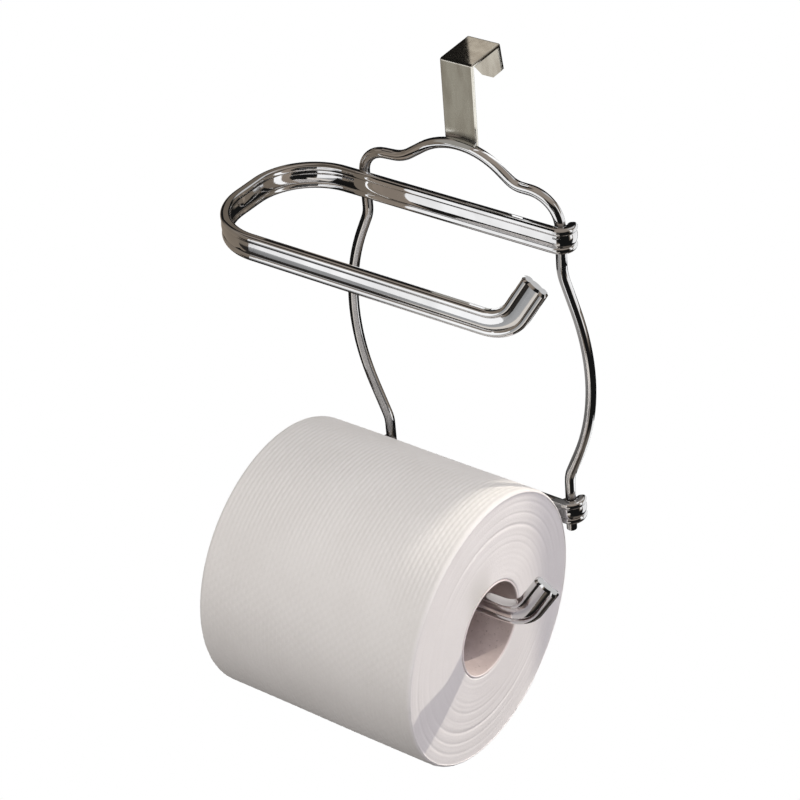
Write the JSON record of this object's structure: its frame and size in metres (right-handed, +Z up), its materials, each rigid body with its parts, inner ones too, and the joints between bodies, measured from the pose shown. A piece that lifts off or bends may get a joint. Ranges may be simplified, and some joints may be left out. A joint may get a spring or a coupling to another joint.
{
  "type": "toilet paper holder",
  "caption": "Chrome wire holder that hangs over a toilet tank's rim by a flat hook, with ribbed looped arms for paper rolls; the lower arm carries a roll that turns freely.",
  "frame": {"origin": "middle of the hook's seat, the flat underside of its top plate, which rests on the tank's rim", "axes": "+Z up, +X to the user's right along the arms, +Y into the tank, so the front is on the -Y side"},
  "size_m": [0.1642, 0.1538, 0.2787],
  "materials": {
    "chrome": "polished",
    "nickel": "satin",
    "cardboard": "matte",
    "paper": "matte"
  },
  "bodies": {
    "holder": {"back_frame": "chrome", "upper_arm": "chrome", "lower_arm": "chrome", "hook_weld": "chrome", "upper_left_weld": "chrome", "upper_right_weld": "chrome", "lower_left_weld": "chrome", "lower_right_weld": "chrome", "tank_hook": "nickel"},
    "roll": {"paper_roll": "paper", "cardboard_core": "cardboard"}
  },
  "joints": [
    {"name": "roll_spin", "type": "hinge", "parent": "holder", "child": "roll", "pos_m": [0, -0.08, -0.2163], "axis": [1, 0, 0], "continuous": true}
  ]
}
